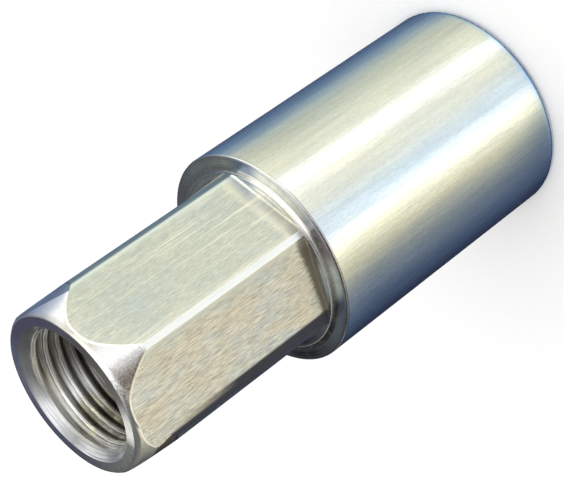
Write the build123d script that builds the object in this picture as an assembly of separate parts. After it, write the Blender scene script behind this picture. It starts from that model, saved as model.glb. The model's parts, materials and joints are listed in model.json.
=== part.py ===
from build123d import *
from math import radians, tan
import os

os.makedirs("parts", exist_ok=True)

# Coupling nut, one turned piece standing on its plain round end, hex end up.
# Origin: centre of the plain end's face. +Z: along the thread, towards the hex end. Sizes in mm.
BODY_D = 32.0            # plain round body
BODY_LEN = 44.5          # plain end to the shoulder face
HEX_LEN = 34.0           # shoulder face to the hex end's face
TURNED_D = 27.2          # diameter the hex end is turned to before the flats are cut
ACROSS_FLATS = 24.0      # wrench size
FLAT_COUNT = 6
COLLAR_LEN = 0.4         # turned ring left between the flats and the shoulder
FLAT_ROOT_R = 0.3        # cutter's corner radius at the root of each flat
COLLAR_FILLET_R = 0.2    # turning tool's nose radius between collar and shoulder
TOP_FACE_D = 23.2        # flat annulus left on the hex end by the long lead-in chamfer
NOSE_D = 24.2            # where a short steeper chamfer breaks the lead-in's end
NOSE_LEN = 0.6
LEAD_ANGLE = 18.0        # lead-in chamfer, from the axis
PLAIN_END_CHAMFER = 0.5
SHOULDER_CHAMFER = 0.2
THREAD_MINOR_D = 17.835  # M20 x 2 internal thread, crest diameter
MOUTH_D = 20.2           # countersink at each mouth
MOUTH_ANGLE = 45.0       # countersink, from the axis

TOTAL_LEN = BODY_LEN + HEX_LEN


def blank_profile():
    """Half section of the turned blank, on the XZ plane."""
    body_r, turned_r, top_r = BODY_D / 2, TURNED_D / 2, TOP_FACE_D / 2
    bore_r, mouth_r = THREAD_MINOR_D / 2, MOUTH_D / 2
    mouth_depth = (mouth_r - bore_r) / tan(radians(MOUTH_ANGLE))
    nose_r, nose_z = NOSE_D / 2, TOTAL_LEN - NOSE_LEN
    lead_len = (turned_r - nose_r) / tan(radians(LEAD_ANGLE))
    f = COLLAR_FILLET_R
    with BuildSketch(Plane.XZ) as half:
        with BuildLine():
            Polyline(
                (turned_r + f, BODY_LEN),
                (body_r - SHOULDER_CHAMFER, BODY_LEN),
                (body_r, BODY_LEN - SHOULDER_CHAMFER),
                (body_r, PLAIN_END_CHAMFER),
                (body_r - PLAIN_END_CHAMFER, 0),
                (mouth_r, 0),
                (bore_r, mouth_depth),
                (bore_r, TOTAL_LEN - mouth_depth),
                (mouth_r, TOTAL_LEN),
                (top_r, TOTAL_LEN),
                (nose_r, nose_z),
                (turned_r, nose_z - lead_len),
                (turned_r, BODY_LEN + f),
            )
            RadiusArc((turned_r, BODY_LEN + f), (turned_r + f, BODY_LEN), -f)
        make_face()
    return half.sketch


def turned_blank():
    return revolve(blank_profile(), Axis.Z, 360)


def flat_cutter():
    """What one milling pass takes off: a slab with the cutter's corner radius at its root."""
    a, r, z0 = ACROSS_FLATS / 2, FLAT_ROOT_R, BODY_LEN + COLLAR_LEN
    outer, top = BODY_D, TOTAL_LEN + 5
    with BuildSketch(Plane.XZ) as side:
        with BuildLine():
            Polyline((a, z0 + r), (a, top), (outer, top), (outer, z0), (a + r, z0))
            RadiusArc((a + r, z0), (a, z0 + r), r)
        make_face()
    return extrude(side.sketch, amount=BODY_D / 2, both=True)


def coupling_nut():
    nut = turned_blank()
    cutter = flat_cutter()
    for k in range(FLAT_COUNT):
        nut -= Rot(0, 0, k * 360 / FLAT_COUNT) * cutter
    return nut


nut = coupling_nut()
nut.label = "coupling_nut"
export_step(nut, "parts/coupling_nut.step")
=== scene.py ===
import json
from math import acos, cos, degrees, hypot, pi, radians, sin, tan

import bmesh
import bpy
from mathutils import Matrix, Vector


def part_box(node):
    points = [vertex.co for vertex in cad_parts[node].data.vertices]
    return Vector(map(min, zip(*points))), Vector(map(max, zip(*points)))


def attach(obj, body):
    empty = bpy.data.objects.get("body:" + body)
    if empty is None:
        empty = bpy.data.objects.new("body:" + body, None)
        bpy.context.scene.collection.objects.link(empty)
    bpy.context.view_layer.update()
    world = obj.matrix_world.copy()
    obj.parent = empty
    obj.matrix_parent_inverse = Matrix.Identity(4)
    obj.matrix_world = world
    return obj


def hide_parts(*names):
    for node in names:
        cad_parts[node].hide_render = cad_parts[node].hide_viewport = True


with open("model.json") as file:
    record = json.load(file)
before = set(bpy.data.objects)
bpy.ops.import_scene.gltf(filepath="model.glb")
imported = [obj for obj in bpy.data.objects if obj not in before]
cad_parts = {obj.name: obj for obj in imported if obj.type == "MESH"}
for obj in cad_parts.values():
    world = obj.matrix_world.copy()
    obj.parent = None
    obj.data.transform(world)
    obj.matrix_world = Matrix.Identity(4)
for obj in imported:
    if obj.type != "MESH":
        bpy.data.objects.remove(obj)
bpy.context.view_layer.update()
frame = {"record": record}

MM = 0.001

# ---------------------------------------------------------------- sizes of the nut, mm
# The whole size and the place of the step come from the frame.
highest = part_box("coupling_nut")[1]
mounts = {mount["name"]: mount for mount in frame["record"]["mounts"]}
BODY_R, TOTAL_LEN = round(highest.x / MM, 3), round(highest.z / MM, 3)
BODY_LEN = round(mounts["shoulder"]["pos_m"][2] / MM, 3)

TURNED_R, FLAT_R, TOP_R = 13.6, 12.0, 11.6
COLLAR_TOP = BODY_LEN + 0.4
FLAT_ROOT_R, COLLAR_FILLET_R = 0.3, 0.2
NOSE_R, NOSE_LEN, LEAD_TAN = 12.1, 0.6, tan(radians(18.0))
PLAIN_CHAMFER, SHOULDER_CHAMFER = 0.5, 0.2
CREST_R, ROOT_R, MOUTH_R, PITCH = 8.9175, 9.70, 10.1, 2.0
RUN_IN_START, RUN_IN = 0.5, 1.5  # the first turn is worn shallow, and reaches its depth over this length
THREAD_START = 0.25              # where the helix starts, turns
EDGE = 0.10                      # the edges that run round the nut are broken by this much
SCALLOP_EDGE = 2.2 * EDGE        # and where flats and lands meet the lead-in cone by this much
FLAT_SHORT = 0.012               # how far a flat's last column stays inside the turned surface

FLAT_EDGE = acos(FLAT_R / TURNED_R)   # angle from a flat's centre to its edge, radians
TURN_STEPS = 13                       # points along one pitch
SAME = 1e-6                           # lengths and angles closer than this are equal
JOIN_WITHIN, SHARP_ANGLE = 2e-6, 38   # metres, degrees

# Materials by where a strip of the surface lies, in the order of the mesh's slots.
TURNED, FACED, MILLED, LEAD, THREAD, END, LAND, EDGE_SHEEN = range(8)


# ---------------------------------------------------------------- the outside, one half section per angle
def column_angles():
    """Angles from a flat's centre to its corner, closer together at its edge, then all the way round."""
    edge = degrees(FLAT_EDGE)
    half = [0, 4.6, 9.2, 13.8, 18.2, 21.8, 24.4, 26.2, edge - 0.45, edge, edge + 0.5, 28.7, 30]
    sector = half + [60 - a for a in reversed(half[1:-1])]
    return [a + 60 * k for k in range(6) for a in sector]


def off_flat(angle):
    """Angle from the nearest flat's centre, in radians."""
    return radians((angle + 30) % 60 - 30)


def corner(before, at, after, size_mm=EDGE):
    """Three points that break the edge at a corner."""
    def towards(other):
        length = hypot(other[0] - at[0], other[1] - at[1])
        k = min(size_mm, 0.4 * length) / length if length > SAME else 0
        return (at[0] + (other[0] - at[0]) * k, at[1] + (other[1] - at[1]) * k)
    a, b = towards(before), towards(after)
    middle = ((a[0] + b[0] + 2 * at[0]) / 4, (a[1] + b[1] + 2 * at[1]) / 4)
    return [a, middle, b]


def between(a, b, n):
    """The points that divide a line in n, without its ends."""
    return [(a[0] + (b[0] - a[0]) * k / n, a[1] + (b[1] - a[1]) * k / n) for k in range(1, n)]


def lead_in(r):
    """Height of the long lead-in cone, and of the short steeper one at its end, at this radius."""
    if r <= NOSE_R:
        return TOTAL_LEN - NOSE_LEN * max(r - TOP_R, 0) / (NOSE_R - TOP_R)
    return TOTAL_LEN - NOSE_LEN - (r - NOSE_R) / LEAD_TAN


class HalfSection:
    """A half section's points, (radius, height), and the material of the strip from each to the next."""

    def __init__(self):
        self.points, self.strips = [], []

    def add(self, new, material):
        for point in new:
            if self.points:
                self.strips.append(material)
            self.points.append(point)


def add_body(section):
    """The plain end, the round body, the step's ring and the fillet up to the collar."""
    mouth, foot = (MOUTH_R, 0.0), (BODY_R - PLAIN_CHAMFER, 0.0)
    low, high = (BODY_R, PLAIN_CHAMFER), (BODY_R, BODY_LEN - SHOULDER_CHAMFER)
    rim, root = (BODY_R - SHOULDER_CHAMFER, BODY_LEN), (TURNED_R + COLLAR_FILLET_R, BODY_LEN)
    section.add([mouth] + between(mouth, foot, 4), FACED)
    section.add(corner(mouth, foot, low), FACED)
    section.add(corner(foot, low, high), TURNED)
    section.add(between(low, high, 8), TURNED)
    section.add(corner(low, high, rim), TURNED)
    section.add(corner(high, rim, root), FACED)
    section.add(between(rim, root, 4), FACED)
    f = COLLAR_FILLET_R
    turns = [k * pi / 8 for k in range(5)]
    section.add([(TURNED_R + f - f * sin(t), BODY_LEN + f - f * cos(t)) for t in turns], EDGE_SHEEN)


def add_collar(section, angle, flat_r, on_land):
    """The turned collar, and the rounded root that the cutter left at a flat's foot. A land has no root, and
    repeats its points instead."""
    collar = (TURNED_R, BODY_LEN + COLLAR_FILLET_R + 0.05)
    section.add([collar], LAND)
    if on_land:
        top = COLLAR_TOP + FLAT_ROOT_R
        section.add([(TURNED_R, top)] * 3 + [(flat_r, top)] * 6, LAND)
        return
    c = cos(off_flat(angle))
    reach = TURNED_R * c - FLAT_R
    start = acos(1 - min(reach, FLAT_ROOT_R) / FLAT_ROOT_R)
    arc = []
    for k in range(6):
        t = start * (1 - k / 5)
        arc.append(((FLAT_R + FLAT_ROOT_R * (1 - cos(t))) / c, COLLAR_TOP + FLAT_ROOT_R * (1 - sin(t))))
    ledge = (TURNED_R, arc[0][1])
    section.add(corner(collar, ledge, arc[0] if reach > FLAT_ROOT_R + SAME else arc[1]), LAND)
    section.add(arc[:1], FACED)
    section.add(arc[1:], MILLED)


def add_hex_end(section, flat_r, shank):
    """The flat or land, both stages of the lead-in cone and the end face."""
    nose_r = min(NOSE_R, (flat_r + TOP_R) / 2)
    low, lead, nose = section.points[-1], (flat_r, lead_in(flat_r)), (nose_r, lead_in(nose_r))
    top, mouth = (TOP_R, TOTAL_LEN), (MOUTH_R, TOTAL_LEN)
    scallop = corner(low, lead, nose, SCALLOP_EDGE)
    section.add(between(low, lead, 10), shank)
    section.add(scallop[:1], shank)
    section.add(scallop[1:], EDGE_SHEEN)
    section.add(between(lead, nose, 4), LEAD)
    section.add(corner(lead, nose, top), LEAD)
    section.add(corner(nose, top, mouth), LEAD)
    section.add(between(top, mouth, 3), END)
    section.add([mouth], END)


def outside_section(angle):
    """The half section from the plain end's mouth round to the hex end's mouth. Every angle has the same
    number of points, so that neighbours join row by row."""
    off = abs(off_flat(angle))
    on_land = off > FLAT_EDGE - SAME
    flat_r = TURNED_R if on_land else FLAT_R / cos(off)
    if abs(off - FLAT_EDGE) < SAME:
        flat_r = TURNED_R - FLAT_SHORT
    section = HalfSection()
    add_body(section)
    add_collar(section, angle, flat_r, on_land)
    add_hex_end(section, flat_r, LAND if on_land else MILLED)
    return section


# ---------------------------------------------------------------- the internal thread
# One turn of a worn thread: part of a pitch, part of the thread's depth, 0 on the crest and 1 in the groove.
TURN = [(k / TURN_STEPS, 0.5 - 0.5 * cos(2 * pi * k / TURN_STEPS)) for k in range(TURN_STEPS)]


def thread_column(angle):
    """The right-hand thread's section at this angle, from the plain end's mouth up to the hex end's."""
    lead = angle / 360 + THREAD_START
    points = []
    for n in range(-2, int(TOTAL_LEN / PITCH) + 2):
        for part, depth in TURN:
            z = (n + part + lead) * PITCH
            if 0 < z < TOTAL_LEN:
                from_mouth = min(z, TOTAL_LEN - z)
                cut = min(max((from_mouth - RUN_IN_START) / RUN_IN, 0), 1)
                r = max(CREST_R + (ROOT_R - CREST_R) * depth * cut, MOUTH_R - from_mouth)
            else:
                z, r = (0.0 if z <= 0 else TOTAL_LEN), MOUTH_R
            points.append((r, z))
    return points


# ---------------------------------------------------------------- the mesh
def strip_material(left, right, middle):
    """The material of a strip between two columns, of which each names its own."""
    if left != right and MILLED in (left, right) and abs(off_flat(middle)) < FLAT_EDGE:
        return MILLED
    return min(left, right)


def close_up(mesh):
    """Join the rows that meet in one point or line, and say whether the result is closed."""
    bm = bmesh.new()
    bm.from_mesh(mesh)
    bmesh.ops.remove_doubles(bm, verts=bm.verts, dist=JOIN_WITHIN)
    bmesh.ops.dissolve_degenerate(bm, edges=bm.edges, dist=JOIN_WITHIN / 2)
    bmesh.ops.recalc_face_normals(bm, faces=bm.faces)
    open_edges = sum(1 for e in bm.edges if len(e.link_faces) != 2)
    print("nut: faces", len(bm.faces), "edges without two faces", open_edges,
          "volume mm3", bm.calc_volume() / MM ** 3)
    bm.to_mesh(mesh)
    bm.free()


def build_nut():
    angles = column_angles()
    n = len(angles)
    sections = [outside_section(a) for a in angles]
    verts, faces, slots = [], [], []

    def place(columns):
        rows = []
        for a, column in zip(angles, columns):
            t = radians(a)
            rows.append(range(len(verts), len(verts) + len(column)))
            verts.extend((r * cos(t) * MM, r * sin(t) * MM, z * MM) for r, z in column)
        return rows

    outer = place([section.points for section in sections])
    for j in range(n):
        a, b = outer[j], outer[(j + 1) % n]
        left, right = sections[j].strips, sections[(j + 1) % n].strips
        middle = (angles[j] + (angles[j + 1] if j + 1 < n else 360)) / 2
        for i in range(len(a) - 1):
            faces.append((a[i], b[i], b[i + 1], a[i + 1]))
            slots.append(strip_material(left[i], right[i], middle))

    inner = place([thread_column(a) for a in angles])
    for j in range(n):
        a, b = inner[j], inner[(j + 1) % n]
        up = TURN_STEPS if j == n - 1 else 0      # once round, the helix has climbed one pitch
        for i in range(len(a) - 1 - up):
            faces.append((a[i], a[i + 1], b[i + 1 + up], b[i + up]))
            slots.append(THREAD)

    mesh = bpy.data.meshes.new("nut")
    mesh.from_pydata(verts, [], faces)
    mesh.polygons.foreach_set("material_index", slots)
    close_up(mesh)
    mesh.shade_smooth()
    mesh.set_sharp_from_angle(angle=radians(SHARP_ANGLE))
    nut = bpy.data.objects.new("nut", mesh)
    bpy.context.scene.collection.objects.link(nut)
    return nut


# ---------------------------------------------------------------- node trees
class Tree:
    """Short names for building a node tree."""

    def __init__(self, owner):
        owner.use_nodes = True
        self.t = owner.node_tree
        self.t.nodes.clear()

    def node(self, kind, **values):
        made = self.t.nodes.new(kind)
        for key, value in values.items():
            setattr(made, key, value)
        return made

    def put(self, socket, value):
        if hasattr(value, "links"):
            self.t.links.new(value, socket)
        else:
            socket.default_value = value

    def math(self, operation, a, b=0.0, c=0.0):
        made = self.node("ShaderNodeMath", operation=operation)
        for socket, value in zip(made.inputs, (a, b, c)):
            self.put(socket, value)
        return made.outputs[0]

    def plus(self, a, b):
        return self.math("ADD", a, b)

    def minus(self, a, b):
        return self.math("SUBTRACT", a, b)

    def times(self, product, *factors):
        for factor in factors:
            product = self.math("MULTIPLY", product, factor)
        return product

    def spread(self, value, low, high, to_low, to_high):
        """low..high becomes to_low..to_high, and stays at them beyond."""
        made = self.node("ShaderNodeMapRange")
        for socket, v in zip(made.inputs, (value, low, high, to_low, to_high)):
            self.put(socket, v)
        return made.outputs[0]

    def near(self, value, place, core, edge, strength):
        """strength within core of a place, falling to 0 at edge from it."""
        return self.spread(self.math("ABSOLUTE", self.minus(value, place)), core, edge, strength, 0)

    def ramp(self, value, stops):
        made = self.node("ShaderNodeValToRGB")
        self.put(made.inputs[0], value)
        e = made.color_ramp.elements
        while len(e) < len(stops):
            e.new(0.5)
        for item, (at, colour) in zip(e, stops):
            item.position, item.color = at, (*colour, 1)
        return made.outputs[0]

    def mix(self, factor, a, b):
        made = self.node("ShaderNodeMix", data_type="RGBA")
        self.put(made.inputs[0], factor)
        for socket, value in ((made.inputs[6], a), (made.inputs[7], b)):
            self.put(socket, value if hasattr(value, "links") else (*value, 1))
        return made.outputs[2]

    def parts(self, vector):
        made = self.node("ShaderNodeSeparateXYZ")
        self.put(made.inputs[0], vector)
        return made.outputs

    def scaled(self, vector, x, y, z):
        made = self.node("ShaderNodeVectorMath", operation="MULTIPLY")
        self.put(made.inputs[0], vector)
        made.inputs[1].default_value = (x, y, z)
        return made.outputs[0]

    def noise(self, vector, scale, detail=2.0, rough=0.5, distortion=0.0):
        made = self.node("ShaderNodeTexNoise")
        self.put(made.inputs["Vector"], vector)
        made.inputs["Scale"].default_value = scale
        made.inputs["Detail"].default_value = detail
        made.inputs["Roughness"].default_value = rough
        made.inputs["Distortion"].default_value = distortion
        return made.outputs["Fac"]

    def grain(self, where, across, along, detail=2.0, rough=0.5, distortion=0.0):
        """Noise with one scale across the nut's axis and another along it, per metre."""
        return self.noise(self.scaled(where, across, across, along), 1, detail, rough, distortion)


ROUND, ALONG = 0.25, 0.0         # the way the tool marks run, as a turn of the shader's tangent


def steel(name, colour, roughness, height, metallic=None, anisotropic=0.0, marks=ALONG, bump=0.003):
    """A plated steel surface. colour, roughness, height and, where it varies, metallic are functions of the
    tree and the object coordinates, and bump is in mm."""
    m = bpy.data.materials.new(name)
    T = Tree(m)
    where = T.node("ShaderNodeTexCoord").outputs["Object"]
    p = T.node("ShaderNodeBsdfPrincipled")
    T.put(p.inputs["Metallic"], metallic(T, where) if metallic else 1.0)
    p.inputs["Anisotropic"].default_value = anisotropic
    p.inputs["Anisotropic Rotation"].default_value = marks
    T.put(p.inputs["Tangent"], T.node("ShaderNodeTangent", direction_type="RADIAL", axis="Z").outputs[0])
    T.put(p.inputs["Base Color"], colour(T, where))
    T.put(p.inputs["Roughness"], roughness(T, where))
    b = T.node("ShaderNodeBump")
    b.inputs["Strength"].default_value = 1.0
    b.inputs["Distance"].default_value = bump * MM
    T.put(b.inputs["Height"], height(T, where))
    T.put(p.inputs["Normal"], b.outputs[0])
    T.put(T.node("ShaderNodeOutputMaterial").inputs[0], p.outputs[0])
    return m


# ---------------------------------------------------------------- places on the nut
# Angles round the nut's axis are in degrees from its front, + towards +X. Heights and radii are in mm.
# Right and left are the photograph's, with the -X side on the right and the hex end below.
FRONT = 1.8                      # azimuth of the nut's front, the side that the photograph shows


def turn_round(T, vector):
    """0..1 round +Z, with a half at the front."""
    # A quarter turn brings -Y to 0, a half brings it to the middle, and a whole one keeps all above 0.
    x, y = T.parts(vector)[:2]
    turn = T.math("DIVIDE", T.math("ARCTAN2", y, x), 2 * pi)
    return T.math("FRACT", T.plus(turn, 0.25 + 0.5 + 1 - FRONT / 360))


def ramp_stops(stops):
    """Stops of (degrees from the front, colour or grey) as a ramp's."""
    return [((a + 180) / 360, c if isinstance(c, tuple) else (c, c, c)) for a, c in stops]


def around(T, where, stops):
    """A colour or a number by the angle round the nut's axis."""
    return T.ramp(turn_round(T, where), ramp_stops(stops))


def patch(T, where, *angles):
    """1 between the second and the third of four angles, 0 before the first and after the last."""
    return around(T, where, ((-180, 0.0), *zip(angles, (0.0, 1.0, 1.0, 0.0)), (180, 0.0)))


def height_of(T, where):
    return T.times(T.parts(where)[2], 1 / MM)


def radius_of(T, where):
    x, y = T.parts(where)[:2]
    return T.times(T.math("SQRT", T.plus(T.times(x, x), T.times(y, y))), 1 / MM)


def ring_noise(T, radius, per_mm, detail, rough):
    """Noise that only the radius changes."""
    v = T.node("ShaderNodeCombineXYZ")
    T.put(v.inputs[0], T.times(radius, per_mm))
    return T.noise(v.outputs[0], 1, detail, rough)


def outward(T, where):
    """Unit vector straight out from the nut's axis."""
    v = T.node("ShaderNodeVectorMath", operation="NORMALIZE")
    T.put(v.inputs[0], T.scaled(where, 1, 1, 0))
    return v.outputs[0]


# The photograph's hexagon isn't a regular one, and colour on the lead-in cone stands in for the difference:
# the right flat's colours, painted reflection over its grain, run on up to CREAM_END and the painted shade
# of the dark strip beside it up to STRIP_END, heights by the angle, and painted shade of the upper side face
# darkens the cone beyond the line x - THIRD_SLOPE * height = THIRD_LINE.
CONE_LOW, CONE_SPAN = 70.0, 10.0       # the heights that a ramp's 0..1 stands for
CREAM_END = ((-180, 70.0), (-65, 70.0), (-64.5, 75.7), (-63, 76.0), (-60, 76.55), (-57, 77.0), (-54, 77.3),
             (-50, 77.55), (-44, 77.75), (-38, 77.75), (-37, 70.0), (180, 70.0))
STRIP_END = ((-180, 70.0), (-91, 70.0), (-90, 76.6), (-72, 76.3), (-64.5, 75.7), (-61, 74.85), (-57, 74.1),
             (-56.5, 73.7), (-56.3, 70.0), (180, 70.0))
THIRD_SLOPE, THIRD_LINE = 0.17, -1.77


def short_of(T, where, ends):
    """How far a place lies below the height that these ends give its angle, mm."""
    share = around(T, where, [(a, (end - CONE_LOW) / CONE_SPAN) for a, end in ends])
    return T.minus(T.math("MULTIPLY_ADD", share, CONE_SPAN, CONE_LOW), height_of(T, where))


def on_cone(T, where):
    """0 at the collar and 1 at the lead-in cone, for a material that covers parts of both."""
    return T.spread(height_of(T, where), CONE_LOW, CONE_LOW + 0.5, 0, 1)


def third_side(T, where):
    """1 where the upper side face of the photograph would cut the lead-in cone, for painted shade there."""
    x, _, z = T.parts(where)
    past = T.times(T.minus(x, T.times(z, THIRD_SLOPE)), 1 / MM)
    return T.spread(past, THIRD_LINE - 0.05, THIRD_LINE + 0.05, 0, 1)


def cream_over_cone(T, where):
    """(inside, line): where the right flat's colours run on over the lead-in cone, and the painted highlight
    along their edge.
    """
    left = short_of(T, where, CREAM_END)
    return T.spread(left, -0.04, 0.04, 0, 1), T.near(left, 0, 0.06, 0.15, 1)


def strip_over_cone(T, where):
    """1 where the painted shade of the dark strip on the right flat's far edge runs on over the lead-in
    cone.
    """
    return T.times(T.spread(short_of(T, where, STRIP_END), -0.05, 0.05, 0, 1), on_cone(T, where))


def cream_colour(T, where):
    """The right flat's colours where they run on over the lead-in cone: its cream painted reflection,
    milling strokes and glints.
    """
    stroke = T.grain(where, 7600, 620, 3, 0.7, 0.15)
    glint = T.grain(where, 7000, 330, 2, 0.6, 0.1)
    tone = T.mix(T.spread(stroke, 0.50, 0.60, 0, 0.90), (0.58, 0.555, 0.46), (0.34, 0.315, 0.25))
    tone = T.mix(T.spread(stroke, 0.47, 0.38, 0, 0.85), tone, (0.84, 0.82, 0.71))
    return T.mix(T.spread(glint, 0.55, 0.64, 0, 0.85), tone, (0.88, 0.80, 0.60))


# ---------------------------------------------------------------- materials
def turned_material():
    """The round body."""
    def colour(T, w):
        z = height_of(T, w)
        cloud = T.grain(w, 300, 60, 3, 0.6)
        streak = T.grain(w, 900, 46, 4, 0.65, 0.25)
        speck = T.grain(w, 3600, 1300, 3, 0.65)
        base = T.mix(T.spread(cloud, 0.36, 0.64, 0, 1), (0.80, 0.815, 0.82), (0.88, 0.87, 0.80))
        base = T.mix(T.spread(streak, 0.50, 0.66, 0, 0.55), base, (0.70, 0.715, 0.70))
        base = T.mix(T.spread(streak, 0.50, 0.36, 0, 0.45), base, (0.97, 0.97, 0.95))
        base = shoulder(T, w, z, foot(T, w, z, base))
        # Painted reflection: dark blue on the plain end's chamfer.
        base = T.mix(T.spread(z, 0.66, 0.88, 1, 0), base, (0.13, 0.20, 0.36))
        return T.mix(T.spread(speck, 0.45, 0.68, 0, 0.45), base, (0.66, 0.67, 0.66))

    def foot(T, w, z, base):
        """Painted shade, bluer on the right towards the plain end, and a painted light-blue reflection as a
        rim round that end.
        """
        blue = around(T, w, (
            (-180, 0.0), (-62, 0.0), (-48, 0.45), (-34, 1.0), (-26, 0.7), (-19, 0.0), (180, 0.0)))
        base = T.mix(T.times(blue, T.spread(z, 1.5, 12.5, 0.85, 0)), base, (0.40, 0.50, 0.64))
        return T.mix(T.spread(z, 0.9, 1.5, 0.80, 0), base, (0.52, 0.76, 1.0))

    def shoulder(T, w, z, base):
        """Painted shade: a dark line below the shoulder, and a darker edge, both by the angle round the nut.
        """
        painted_light_by_angle = around(T, w, ((-180, 0.0), (-80, 0.3), (-60, 1.0), (10, 1.0), (30, 0.2), (180, 0.0)))
        line = T.near(z, BODY_LEN - 0.42, 0.04, 0.13, 0.85)
        base = T.mix(T.times(line, painted_light_by_angle), base, (0.30, 0.22, 0.27))
        painted_shade = around(T, w, (
            (-180, 0.0), (-70, 0.0), (-60, 0.85), (-6, 0.93), (4, 0.70), (14, 0.35), (30, 0.0), (180, 0.0)))
        edge = T.spread(z, BODY_LEN - 0.31, BODY_LEN - 0.26, 0, 1)
        return T.mix(T.times(painted_shade, edge), base, (0.07, 0.05, 0.06))

    def roughness(T, w):
        return T.spread(T.grain(w, 2400, 900, 3, 0.6), 0.3, 0.7, 0.15, 0.24)

    def height(T, w):
        ripple = T.grain(w, 700, 90, 3, 0.6)
        return T.plus(T.grain(w, 3000, 1100, 4, 0.65, 0.3), T.times(ripple, 2.2))
    return steel("turned_steel", colour, roughness, height, anisotropic=0.45, marks=ROUND, bump=0.012)


def faced_material():
    """The plain end's face and the step's ring."""
    def colour(T, w):
        radius = radius_of(T, w)
        fan = T.noise(outward(T, w), 9, 3, 0.6)
        broad = ring_noise(T, radius, 1.1, 2, 0.5)
        fine = ring_noise(T, radius, 2.6, 3, 0.7)
        # The tones by angle are painted reflections: pale and dark sectors of highlight.
        base = around(T, w, (
            (-180, 0.55), (-114, (0.05, 0.05, 0.07)), (-100, (0.06, 0.06, 0.075)), (-86, (0.21, 0.23, 0.27)),
            (-72, (0.38, 0.45, 0.52)), (-56, (0.40, 0.46, 0.52)), (-45, (0.66, 0.78, 0.92)),
            (-37, (0.80, 0.95, 1.0)), (-27, (0.84, 0.98, 1.0)), (-18, (0.37, 0.33, 0.37)),
            (-6, (0.35, 0.32, 0.36)), (0, (0.29, 0.31, 0.34)), (10, (0.60, 0.60, 0.57)),
            (22, (0.84, 0.84, 0.81)), (34, (1.0, 1.0, 1.0)), (43, (0.26, 0.35, 0.53)),
            (52, (0.32, 0.40, 0.49)), (60, (0.70, 0.73, 0.69)), (74, (0.56, 0.60, 0.57)),
            (90, (0.58, 0.63, 0.64)), (112, (0.38, 0.39, 0.43)), (180, 0.55)))
        base = T.mix(T.spread(fan, 0.50, 0.66, 0, 0.20), base, (0.34, 0.36, 0.36))
        base = T.mix(T.spread(broad, 0.50, 0.60, 0, 0.50), base, (0.27, 0.26, 0.28))
        # Painted shade where the ring meets the fillet.
        base = T.mix(T.near(radius, TURNED_R + 0.36, 0.05, 0.14, 0.6), base, (0.24, 0.25, 0.25))
        base = T.mix(T.spread(fine, 0.46, 0.60, 0, 0.65), base, (0.31, 0.31, 0.32))
        # Painted shade on the outer edge, by angle.
        painted_shade = around(T, w, (
            (-180, 0.0), (-64, 0.0), (-57, 0.80), (-4, 0.80), (6, 0.60), (22, 0.40), (34, 0.0), (180, 0.0)))
        edge = T.spread(radius, BODY_R - 0.18, BODY_R - 0.12, 0, 1)
        return T.mix(T.times(painted_shade, edge), base, (0.05, 0.055, 0.06))

    def roughness(T, w):
        return T.spread(T.noise(w, 1200, 3), 0.3, 0.7, 0.26, 0.36)

    def height(T, w):
        return ring_noise(T, radius_of(T, w), 3.4, 3, 0.7)
    return steel("faced_steel", colour, roughness, height, anisotropic=0.80, marks=ROUND, bump=0.008)


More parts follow.
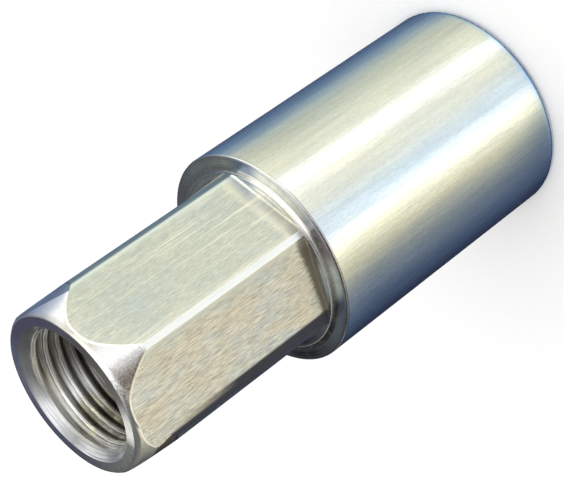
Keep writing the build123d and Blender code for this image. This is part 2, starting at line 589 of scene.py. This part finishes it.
def milled_material():
    """The flats: cool tones on the +X side and cream ones with pale strokes on the -X side, painted
    reflections over the milled grain.
    """
    def colour(T, w):
        z = height_of(T, w)
        cloud = T.grain(w, 240, 110, 3, 0.6)
        short = T.grain(w, 6600, 900, 4, 0.75, 0.3)
        ragged = T.plus(z, T.spread(short, 0.3, 0.7, -0.4, 0.4))
        return T.mix(cool_side(T, w), cream(T, w, z, cloud, ragged), cool(T, w, z, cloud, short, ragged))

    def cool_side(T, w):
        """0 on the -X side, 1 on the +X side."""
        return T.spread(T.parts(w)[0], -2 * MM, 2 * MM, 0, 1)

    def cool(T, w, z, cloud, short, ragged):
        long = T.grain(w, 4200, 56, 2, 0.5, 0.2)
        band = T.grain(w, 1500, 90, 3, 0.6)
        base = T.ramp(cloud, (
            (0.34, (0.59, 0.63, 0.64)), (0.50, (0.635, 0.655, 0.605)), (0.66, (0.69, 0.685, 0.605))))
        base = T.mix(T.spread(short, 0.44, 0.64, 0, 0.9), base, (0.49, 0.52, 0.49))
        base = T.mix(T.spread(short, 0.44, 0.32, 0, 0.7), base, (0.86, 0.86, 0.77))
        base = T.mix(T.spread(band, 0.56, 0.66, 0, 0.35), base, (0.88, 0.86, 0.76))
        base = T.mix(T.spread(long, 0.62, 0.72, 0, 0.75), base, (1.0, 0.97, 0.82))
        # Painted shade olive near the root below 26 degrees, and painted highlight pale from 38.
        olive, pale = (0.62, 0.60, 0.44), (0.92, 0.93, 0.84)
        root = around(T, w, ((-180, olive), (26, olive), (38, pale), (180, pale)))
        base = T.mix(T.spread(z, COLLAR_TOP + 0.7, COLLAR_TOP + 1.7, 0.45, 0), base, root)
        base = T.mix(T.near(ragged, COLLAR_TOP + 2.0, 0.1, 1.0, 0.5), base, (0.94, 0.90, 0.72))
        # Painted highlight: a light line along the flat's far edge.
        line = around(T, w, (
            (-180, 0.0), (52.6, 0.0), (53.6, 0.35), (54.6, 1.0), (60, 1.0), (61, 0.0), (180, 0.0)))
        base = T.mix(line, base, (0.80, 0.87, 0.86))
        # Painted shade: a dark blue strip along that edge, for a side face in shade.
        strip = T.mix(T.spread(short, 0.40, 0.60, 0, 1), (0.10, 0.128, 0.20), (0.135, 0.168, 0.245))
        return T.mix(patch(T, w, 55.2, 55.7, 60, 61), base, strip)

    def cream(T, w, z, cloud, ragged):
        stroke = T.grain(w, 7600, 620, 3, 0.7, 0.15)
        glint = T.grain(w, 7000, 330, 2, 0.6, 0.1)
        base = T.ramp(cloud, (
            (0.38, (0.65, 0.685, 0.66)), (0.50, (0.72, 0.68, 0.56)), (0.62, (0.77, 0.675, 0.52))))
        base = T.mix(T.spread(stroke, 0.50, 0.62, 0, 0.80), base, (0.44, 0.40, 0.32))
        base = T.mix(T.spread(stroke, 0.47, 0.38, 0, 0.75), base, (1.0, 0.96, 0.83))
        base = T.mix(T.spread(glint, 0.55, 0.66, 0, 0.75), base, (1.0, 0.91, 0.68))
        base = T.mix(T.spread(radius_of(T, w), TURNED_R - 0.45, TURNED_R, 0, 0.75), base, (1.0, 0.95, 0.80))
        # Painted shade: a dark band along the root, wider towards the front.
        lower = around(T, w, (
            (-180, 1.0), (-60, 1.0), (-48, 0.94), (-39, 0.72), (-30, 0.64), (-20, 0.39), (-12, 0.11),
            (0, 0.0), (180, 0.0)))
        moved = T.plus(ragged, T.spread(lower, 0, 1, 0, 0.9))
        base = T.mix(T.spread(moved, COLLAR_TOP + 1.5, COLLAR_TOP + 2.1, 0.90, 0), base, (0.14, 0.12, 0.08))
        # Painted shade: a near-black strip along the far edge, for a side face in shade, wider towards the
        # collar.
        narrow = patch(T, w, -62, -61, -57.2, -56.9)
        wide = patch(T, w, -62, -61, -54.1, -53.8)
        return T.mix(T.mix(T.spread(z, 62, 74, 0, 1), wide, narrow), base, (0.05, 0.05, 0.065))

    def metallic(T, w):
        return T.spread(cool_side(T, w), 0, 1, 0.55, 1.0)

    def roughness(T, w):
        return T.spread(T.grain(w, 3000, 300), 0.3, 0.7, 0.30, 0.44)

    def height(T, w):
        return T.plus(T.grain(w, 6600, 900, 3, 0.65, 0.4), T.times(T.grain(w, 1300, 20, 2, 0.6), 0.8))
    return steel("milled_steel", colour, roughness, height, metallic, anisotropic=0.6, bump=0.016)


def lead_material():
    """Both stages of the lead-in cone."""
    def colour(T, w):
        # The tones by angle are painted reflections.
        base = around(T, w, (
            (-180, 0.93), (-20, 0.93), (2, 0.90), (10, 0.76), (16, (0.64, 0.625, 0.57)),
            (26, (0.60, 0.59, 0.53)), (36, (0.61, 0.60, 0.54)), (42, 0.78), (50, 0.78),
            (56, (0.70, 0.72, 0.76)), (60, (0.78, 0.80, 0.84)), (64, (1.0, 1.0, 1.0)), (90, 0.85),
            (180, 0.93)))
        base = T.mix(T.spread(T.noise(w, 700, 3, 0.6), 0.42, 0.66, 0, 0.35), base, (0.70, 0.68, 0.62))
        shade = around(T, w, (
            (-180, 0.93), (55, (0.20, 0.25, 0.33)), (60, (0.23, 0.28, 0.36)), (64, (0.36, 0.42, 0.50)),
            (69, (0.52, 0.60, 0.67)), (80, (0.52, 0.60, 0.67)), (90, 0.85), (180, 0.93)))
        base = T.mix(third_side(T, w), base, shade)
        # Painted shade: dark specks on the cone just right of the front.
        painted_light_by_angle = around(T, w, (
            (-180, 0.2), (-90, 0.2), (-40, 0.12), (-27, 0.25), (-19, 0.85), (-11, 0.85), (-5, 0.42),
            (-1, 0.40), (3, 0.14), (8, 0.05), (60, 0.04), (180, 0.2)))
        speck = T.spread(T.noise(w, 3000, 3, 0.75), 0.40, 0.62, 0.10, 1)
        base = T.mix(T.times(speck, painted_light_by_angle), base, (0.30, 0.27, 0.24))
        inside, line = cream_over_cone(T, w)
        base = T.mix(inside, base, cream_colour(T, w))
        base = T.mix(line, base, (0.86, 0.80, 0.66))
        return T.mix(strip_over_cone(T, w), base, (0.17, 0.155, 0.16))

    def metallic(T, w):
        inside, line = cream_over_cone(T, w)
        off_strip = T.spread(strip_over_cone(T, w), 0, 1, 0.9, 0)
        return T.minus(1.0, T.times(T.math("MAXIMUM", inside, line), off_strip))

    def roughness(T, w):
        return T.spread(T.noise(w, 2600, 3), 0.3, 0.7, 0.14, 0.24)

    def height(T, w):
        return T.plus(T.noise(w, 3000, 3), T.grain(w, 80, 7000))
    return steel("lead_steel", colour, roughness, height, metallic, anisotropic=0.3, marks=ROUND,
                 bump=0.005)


def thread_material():
    """The thread and both countersinks: a painted highlight opposite the front, stains and painted shade on
    the sides, and painted shade deep in.
    """
    pale = (1.0, 0.99, 0.94)

    def colour(T, w):
        radius, deep = radius_of(T, w), from_mouth(T, w)
        past = T.spread(deep, 0.8, 1.8, 0, 1)
        cloud = T.grain(w, 420, 700, 4, 0.65, 0.4)
        lines = T.grain(w, 90, 4200, 4, 0.7, 0.2)
        glare = around(T, w, (
            (-180, 1.0), (-166, 0.8), (-150, 0.0), (150, 0.0), (166, 0.8), (180, 1.0)))
        off_glare = T.spread(glare, 0, 1, 1, 0.3)
        base = lit_tone_and_stains(T, w, past, cloud, off_glare)
        streaks = T.mix(glare, (0.27, 0.27, 0.25), (0.42, 0.44, 0.46))
        base = T.mix(T.spread(lines, 0.48, 0.60, 0, 0.62), base, streaks)
        sides = side_shade_and_stain(T, w, deep)
        # Painted shade: brown on the sides.
        painted_shade = T.times(sides, past, T.spread(cloud, 0.62, 0.46, 0.2, 1))
        base = T.mix(painted_shade, base, (0.19, 0.165, 0.09))
        # Painted highlight near the mouth where light comes in.
        painted_glare = T.times(lit(T, w), past, T.spread(deep, 2.6, 3.8, 0.85, 0))
        base = T.mix(T.times(painted_glare, T.spread(lines, 0.48, 0.62, 1, 0.25)), base, (1.0, 1.0, 0.96))
        rings = T.spread(T.grain(w, 120, 8200, 3, 0.6, 0.3), 0.50, 0.60, 0, 0.62)
        base = T.mix(T.times(rings, T.spread(past, 0, 1, 1, 0)), base, (0.34, 0.38, 0.43))
        yellow = T.spread(T.grain(w, 380, 1500, 3, 0.6, 0.3), 0.54, 0.62, 0, 0.9)
        base = T.mix(T.times(sides, past, yellow), base, (1.0, 0.95, 0.62))
        # Painted shade in the groove bottoms, away from the glare.
        groove = T.times(T.spread(radius, ROOT_R - 0.15, ROOT_R - 0.03, 0, 0.75), off_glare)
        base = T.mix(T.times(groove, past, T.spread(painted_glare, 0, 0.7, 1, 0.15)), base, (0.12, 0.11, 0.08))
        base = crest(T, w, radius, past, base)
        # Painted shade round the mouth, by angle.
        rim = around(T, w, (
            (-180, 0.0), (-90, 0.1), (0, 0.5), (90, 0.80), (120, 0.62), (135, 0.40), (150, 0.45),
            (165, 0.40), (176, 0.0), (180, 0.0)))
        base = T.mix(T.times(rim, T.spread(deep, 0.9, 1.6, 1, 0)), base, (0.08, 0.08, 0.095))
        # Painted shade, darker deep in the bore.
        dark = T.spread(T.minus(deep, T.times(glare, 1.4)), 3.2, 8.5, 0, 1)
        return T.mix(dark, base, (0.09, 0.08, 0.065))

    def from_mouth(T, w):
        """How deep in the bore, from the nearer end, mm."""
        z = height_of(T, w)
        return T.math("MINIMUM", T.minus(TOTAL_LEN, z), z)

    def lit_tone_and_stains(T, w, past, cloud, off_glare):
        """Painted reflection and shade by angle, with yellow-brown stains and grey clouds."""
        tone = around(T, w, (
            (-180, 0.96), (-168, 0.86), (-158, 0.45), (-149, 0.30), (-142, 0.62), (-134, 0.95),
            (-120, 0.98), (-105, 0.60), (-90, 0.5), (0, 0.5), (90, 0.14), (105, 0.22), (120, 0.34),
            (145, 0.42), (155, 0.52), (165, 0.70), (173, 0.92), (180, 0.96)))
        stain = T.spread(T.grain(w, 260, 900, 3, 0.6), 0.50, 0.64, 0, 0.9)
        base = T.mix(T.times(stain, past), tone, (0.62, 0.57, 0.38))
        return T.mix(T.times(T.spread(cloud, 0.48, 0.64, 0, 0.5), off_glare), base, (0.38, 0.37, 0.34))

    def side_shade_and_stain(T, w, deep):
        """How much painted shade each angle gets, at the mouth and further in; it also places the yellow
        stains.
        """
        outer = around(T, w, (
            (-180, 0.0), (-160, 0.1), (-146, 0.85), (-112, 0.85), (-96, 0.3), (90, 0.0), (118, 0.35),
            (150, 0.30), (165, 0.0), (180, 0.0)))
        inner = around(T, w, (
            (-180, 0.0), (-174, 0.25), (-164, 0.80), (-150, 0.85), (-112, 0.85), (-96, 0.3), (90, 0.0),
            (118, 0.35), (150, 0.30), (165, 0.0), (180, 0.0)))
        return T.mix(T.spread(deep, 2.6, 4.2, 0, 1), outer, inner)

    def crest(T, w, radius, past, base):
        """Light tool lines, a painted highlight on the crest, and lines of painted shade and painted
        highlight beside it.
        """
        turned = T.spread(T.grain(w, 130, 9000, 3, 0.6, 0.2), 0.56, 0.66, 0, 0.8)
        base = T.mix(T.times(turned, past), base, (1.0, 1.0, 0.97))
        crest_highlight = T.spread(radius, CREST_R + 0.0125, CREST_R + 0.0525, 0.8, 0)
        base = T.mix(T.times(crest_highlight, past), base, pale)
        kink = T.plus(radius, T.spread(T.noise(w, 700), 0.3, 0.7, -0.04, 0.04))
        base = T.mix(T.times(T.near(kink, 9.26, 0.03, 0.09, 0.65), past), base, (0.10, 0.09, 0.07))
        return T.mix(T.times(T.near(kink, 9.12, 0.02, 0.06, 0.85), past), base, pale)

    def lit(T, w):
        """How much light reaches each angle through the open end."""
        return around(T, w, (
            (-180, 1.0), (-166, 0.8), (-154, 0.5), (-142, 0.7), (-115, 0.7), (-100, 0.0), (150, 0.0),
            (166, 0.8), (180, 1.0)))

    def metallic(T, w):
        sunk = T.spread(radius_of(T, w), 9.02, 9.35, 0, 1)
        shallow = T.spread(from_mouth(T, w), 3.0, 4.2, 1, 0)
        return T.minus(0.5, T.times(lit(T, w), sunk, shallow, 0.42))

    def roughness(T, w):
        return T.spread(T.noise(w, 900), 0.3, 0.7, 0.12, 0.22)

    def height(T, w):
        return T.grain(w, 200, 5200, 3, 0.6)
    return steel("threaded_steel", colour, roughness, height, metallic, anisotropic=0.3, marks=ROUND,
                 bump=0.010)


def end_material():
    """The hex end's face: painted reflections by angle, and one pale matte arc of painted highlight."""
    def colour(T, w):
        base = around(T, w, (
            (-180, (0.40, 0.40, 0.60)), (-150, (0.30, 0.33, 0.48)), (-125, (0.44, 0.45, 0.50)),
            (-105, (0.66, 0.66, 0.64)), (-80, (0.84, 0.83, 0.75)), (-60, (1.0, 0.98, 0.90)),
            (-34, (1.0, 0.99, 0.94)), (-24, (0.72, 0.67, 0.60)), (-10, (0.46, 0.43, 0.37)),
            (0, (0.46, 0.42, 0.35)), (20, (0.30, 0.27, 0.24)), (40, (0.31, 0.30, 0.38)),
            (60, (0.25, 0.23, 0.41)), (105, (0.25, 0.24, 0.42)), (125, (0.40, 0.42, 0.62)),
            (150, (0.56, 0.58, 0.78)), (180, (0.40, 0.40, 0.60))))
        base = T.mix(T.spread(T.noise(w, 1500, 3, 0.6), 0.4, 0.75, 0, 0.35), base, (0.20, 0.20, 0.26))
        return T.mix(painted_light_by_angle(T, w), base, (0.80, 0.775, 0.735))

    # The pale matte arc of painted highlight.
    def painted_light_by_angle(T, w):
        arc = around(T, w, (
            (-180, 0.0), (-61, 0.0), (-55, 0.55), (-50, 1.0), (-39, 0.90), (-31, 0.42), (-22, 0.05),
            (180, 0.0)))
        return T.times(arc, T.spread(T.noise(w, 500, 3, 0.6), 0.35, 0.6, 0.75, 1))

    def metallic(T, w):
        return T.minus(1.0, painted_light_by_angle(T, w))

    def roughness(T, w):
        return T.spread(T.noise(w, 1500, 3), 0.3, 0.7, 0.18, 0.26)

    def height(T, w):
        return T.noise(w, 2600, 3, 0.6)
    return steel("end_steel", colour, roughness, height, metallic, anisotropic=0.2, marks=ROUND)


def land_material():
    """The turned lands between the flats, the collar and its ledge, with painted reflections by angle."""
    def colour(T, w):
        base = around(T, w, (
            (-180, 0.5), (-90, 0.28), (-56, (0.28, 0.28, 0.30)), (-48, (0.95, 0.96, 0.96)),
            (-24, (1.0, 0.96, 0.92)), (40, (1.0, 0.955, 0.915)), (52, (0.26, 0.35, 0.42)),
            (90, (0.26, 0.35, 0.42)), (180, 0.5)))
        base = T.mix(ledge(T, w), base, (0.36, 0.38, 0.37))
        return T.mix(T.spread(T.grain(w, 2400, 200, 3, 0.6), 0.45, 0.75, 0, 0.3), base, (0.70, 0.69, 0.68))

    # Painted shade: the ledge grey and less metallic on the right.
    def ledge(T, w):
        right = around(T, w, ((-180, 1.0), (-8, 1.0), (-3, 0.0), (180, 0.0)))
        return T.times(right, T.spread(height_of(T, w), COLLAR_TOP + 0.05, COLLAR_TOP + 0.15, 1, 0))

    def metallic(T, w):
        return T.spread(ledge(T, w), 0, 1, 1.0, 0.25)

    def roughness(T, w):
        return T.spread(T.noise(w, 1800, 3), 0.3, 0.7, 0.30, 0.42)

    def height(T, w):
        return T.grain(w, 3000, 300, 3, 0.6)
    return steel("land_steel", colour, roughness, height, metallic, anisotropic=0.6, bump=0.004)


def edge_sheen_material():
    """The fillet round the collar and the flats' curved edges on the lead-in cone, with painted highlights
    and painted reflections by angle.
    """
    def colour(T, w):
        z = height_of(T, w)
        high = around(T, w, (
            (-180, 0.25), (-70, 0.10), (-58, 0.25), (-50, 0.40), (-44, 0.45), (-36, 0.75), (-26, 0.75),
            (-15, 0.66), (-9, 0.90), (-4, 1.0), (2, 1.0), (40, 1.0), (46, 0.80), (60, 0.42), (180, 0.25)))
        low = around(T, w, (
            (-180, 0.25), (-70, 0.10), (-58, 0.25), (-50, 0.28), (-44, 0.30), (-30, 0.48), (-15, 0.38),
            (-9, 0.46), (-4, 0.68), (2, 0.90), (40, 0.90), (46, 0.55), (60, 0.42), (180, 0.25)))
        fillet = T.mix(T.spread(z, BODY_LEN + 0.26, BODY_LEN + 0.34, 0, 1), low, high)
        # Painted highlight: the flats' curved edges on the lead-in cone pale.
        base = T.mix(T.spread(z, COLLAR_TOP + 1.1, COLLAR_TOP + 1.3, 0, 1), fillet, (1.0, 0.99, 0.95))
        base = T.mix(T.spread(T.noise(w, 900, 3, 0.6), 0.50, 0.72, 0, 0.5), base, (0.55, 0.53, 0.47))
        shade = T.times(patch(T, w, 50, 52, 63, 64), on_cone(T, w), third_side(T, w))
        base = T.mix(shade, base, (0.16, 0.20, 0.28))
        base = T.mix(cream(T, w), base, cream_colour(T, w))
        return T.mix(strip_over_cone(T, w), base, (0.10, 0.10, 0.125))

    def cream(T, w):
        inside = cream_over_cone(T, w)[0]
        return T.times(inside, on_cone(T, w), T.spread(strip_over_cone(T, w), 0, 1, 1, 0))

    def metallic(T, w):
        return T.spread(cream(T, w), 0, 1, 1, 0.1)

    def roughness(T, w):
        return T.spread(T.noise(w, 1800), 0.3, 0.7, 0.22, 0.34)

    def height(T, w):
        return T.noise(w, 2400)
    return steel("edge_sheen_steel", colour, roughness, height, metallic)


# ---------------------------------------------------------------- the studio
CAMERA_ELEVATION, CAMERA_ROLL = 32.2, -125.84         # degrees
CAMERA_DISTANCE, CAMERA_LENS = 0.2570, 120.0          # metres, mm
CAMERA_TARGET = Vector((0.00005, 0.0003, 0.0397))
FLOOR_HALF = 3.0                                      # metres
LAMP_PLACE, LAMP_DISTANCE = (40, 62), 0.9             # azimuth and elevation, metres
LAMP_SIZE, LAMP_WATTS = 0.8, 0.8

# What the metal mirrors: rings of pale and dark zones, as (degrees from the front, colour).
BELOW = (
    (-180, (0.02, 0.03, 0.06)), (-150, (0.02, 0.03, 0.07)), (-120, (0.063, 0.10, 0.185)),
    (-92, (0.165, 0.215, 0.29)), (-80, (0.245, 0.285, 0.32)), (-66, (0.47, 0.49, 0.43)),
    (-54, (0.76, 0.74, 0.55)), (-46, (0.96, 0.94, 0.73)), (-38, (1.45, 1.43, 1.12)),
    (-28, (1.50, 1.52, 1.46)), (-20, (1.10, 1.26, 1.36)), (-12, (0.84, 1.00, 1.14)),
    (-4, (0.86, 1.00, 1.09)), (6, (0.93, 1.00, 0.97)), (18, (0.99, 1.01, 0.87)),
    (26, (1.02, 1.03, 0.87)), (35, (1.40, 1.40, 1.28)), (42, (1.75, 1.75, 1.70)),
    (50, (1.30, 1.31, 1.16)), (58, (0.94, 0.96, 0.78)), (68, (0.96, 0.98, 0.80)),
    (82, (0.75, 0.79, 0.65)), (92, (0.60, 0.65, 0.54)), (104, (0.56, 0.62, 0.57)),
    (112, (0.43, 0.52, 0.54)), (120, (0.265, 0.385, 0.49)), (130, (0.16, 0.25, 0.39)),
    (144, (0.10, 0.165, 0.29)), (160, (0.06, 0.10, 0.20)), (180, (0.02, 0.03, 0.06)))
LEVEL = (
    (-180, (0.08, 0.08, 0.10)), (-140, (0.15, 0.15, 0.125)), (-120, (0.30, 0.29, 0.235)),
    (-104, (0.48, 0.46, 0.37)), (-92, (0.72, 0.68, 0.53)), (-60, (1.10, 1.02, 0.80)),
    (-45, (1.0, 0.90, 0.70)), (-31, (0.24, 0.19, 0.15)), (-16, (0.30, 0.26, 0.23)),
    (-7, (0.70, 0.68, 0.68)), (3, (1.35, 1.35, 1.35)), (92, (1.40, 1.40, 1.38)),
    (104, (0.80, 0.85, 0.95)), (122, (0.26, 0.31, 0.45)), (180, (0.06, 0.06, 0.08)))
UPPER = (
    (-180, (0.19, 0.20, 0.21)), (-160, (0.09, 0.10, 0.11)), (-138, (0.08, 0.09, 0.10)), (-112, 0.15),
    (-92, (0.14, 0.14, 0.13)), (-76, 0.17), (-48, (0.19, 0.19, 0.18)), (-34, (0.60, 0.60, 0.58)),
    (-20, 0.60), (-11, 0.70), (1, 1.05), (8, 1.2), (34, (1.22, 1.22, 1.15)), (70, (1.28, 1.28, 1.20)),
    (100, (1.10, 1.10, 1.05)), (118, (0.50, 0.54, 0.60)), (136, (0.20, 0.22, 0.25)),
    (155, (0.18, 0.20, 0.20)), (180, (0.19, 0.20, 0.21)))
HIGH = (
    (-180, 0.20), (-150, 0.10), (-128, (0.60, 0.68, 0.70)), (-105, (0.14, 0.14, 0.15)), (-85, 0.50),
    (-55, (0.60, 0.60, 0.58)), (-20, 1.30), (60, 1.40), (150, (1.45, 1.45, 1.36)),
    (162, (1.10, 1.12, 1.06)), (172, (0.42, 0.44, 0.44)), (180, 0.20))
ZENITH, NADIR = (2.2, 2.2, 2.2), (0.60, 0.68, 0.80)
# Above BELOW, each ring takes over between these heights, as sines of the elevation.
FURTHER_RINGS = ((LEVEL, -0.36, -0.10), (UPPER, 0.20, 0.36), (HIGH, 0.72, 0.82))
DAYLIGHT = 1.06                  # what surfaces that scatter light get from all round


def direction(azimuth, elevation):
    """Unit vector towards a place round the object: azimuth 0 is in front (-Y), 90 is at +X."""
    a, e = radians(azimuth), radians(elevation)
    return Vector((sin(a) * cos(e), -cos(a) * cos(e), sin(e)))


def make_camera():
    cam = bpy.data.objects.new("camera", bpy.data.cameras.new("camera"))
    bpy.context.scene.collection.objects.link(cam)
    back = direction(FRONT, CAMERA_ELEVATION)
    cam.location = CAMERA_TARGET + back * CAMERA_DISTANCE
    cam.rotation_mode = "QUATERNION"
    level = (-back).to_track_quat("-Z", "Y")
    cam.rotation_quaternion = level @ Matrix.Rotation(radians(CAMERA_ROLL), 3, "Z").to_quaternion()
    cam.data.lens, cam.data.sensor_width = CAMERA_LENS, 36.0
    cam.data.clip_start, cam.data.clip_end = 0.01, 20
    bpy.context.scene.camera = cam


def make_world():
    """White to look at, daylight for what scatters light, and the rings for what mirrors it."""
    world = bpy.data.worlds.new("studio")
    bpy.context.scene.world = world
    T = Tree(world)
    ray = T.node("ShaderNodeTexCoord").outputs["Generated"]
    turn, z = turn_round(T, ray), T.parts(ray)[2]
    room = T.ramp(turn, ramp_stops(BELOW))
    for stops, start, end in FURTHER_RINGS:
        room = T.mix(T.spread(z, start, end, 0, 1), room, T.ramp(turn, ramp_stops(stops)))
    room = T.mix(T.spread(z, 0.955, 0.985, 0, 1), room, ZENITH)
    room = T.mix(T.spread(z, -0.90, -0.72, 1, 0), room, NADIR)
    path = T.node("ShaderNodeLightPath")
    studio = T.node("ShaderNodeBackground")
    T.put(studio.inputs[0], room)
    white = T.node("ShaderNodeBackground")
    white.inputs[0].default_value = (1, 1, 1, 1)
    T.put(white.inputs[1], T.spread(path.outputs["Is Diffuse Ray"], 0, 1, 1.0, DAYLIGHT))
    both = T.node("ShaderNodeMixShader")
    T.put(both.inputs[0], path.outputs["Is Glossy Ray"])
    T.put(both.inputs[1], white.outputs[0])
    T.put(both.inputs[2], studio.outputs[0])
    T.put(T.node("ShaderNodeOutputWorld").inputs[0], both.outputs[0])


def make_floor():
    mesh = bpy.data.meshes.new("floor")
    s = FLOOR_HALF
    mesh.from_pydata([(-s, -s, 0), (s, -s, 0), (s, s, 0), (-s, s, 0)], [], [(0, 1, 2, 3)])
    floor = bpy.data.objects.new("floor", mesh)
    bpy.context.scene.collection.objects.link(floor)
    m = bpy.data.materials.new("floor")
    T = Tree(m)
    p = T.node("ShaderNodeBsdfPrincipled")
    p.inputs["Base Color"].default_value = (0.97, 0.97, 0.97, 1)
    p.inputs["Roughness"].default_value = 0.9
    p.inputs["Specular IOR Level"].default_value = 0.0
    T.put(T.node("ShaderNodeOutputMaterial").inputs[0], p.outputs[0])
    mesh.materials.append(m)
    floor.visible_glossy = False


def make_lamp():
    lamp = bpy.data.objects.new("softbox", bpy.data.lights.new("softbox", "AREA"))
    bpy.context.scene.collection.objects.link(lamp)
    lamp.data.shape, lamp.data.size = "DISK", LAMP_SIZE
    lamp.data.energy = LAMP_WATTS
    lamp.location = direction(*LAMP_PLACE) * LAMP_DISTANCE
    lamp.rotation_mode = "QUATERNION"
    lamp.rotation_quaternion = (-lamp.location).to_track_quat("-Z", "Y")
    lamp.visible_camera = False


# ---------------------------------------------------------------- the scene
nut = build_nut()
for make_material in (turned_material, faced_material, milled_material, lead_material, thread_material,
                      end_material, land_material, edge_sheen_material):
    nut.data.materials.append(make_material())
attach(nut, "root")
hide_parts("coupling_nut")

make_world()
make_floor()
make_lamp()
make_camera()
bpy.context.scene.view_settings.view_transform = "Standard"
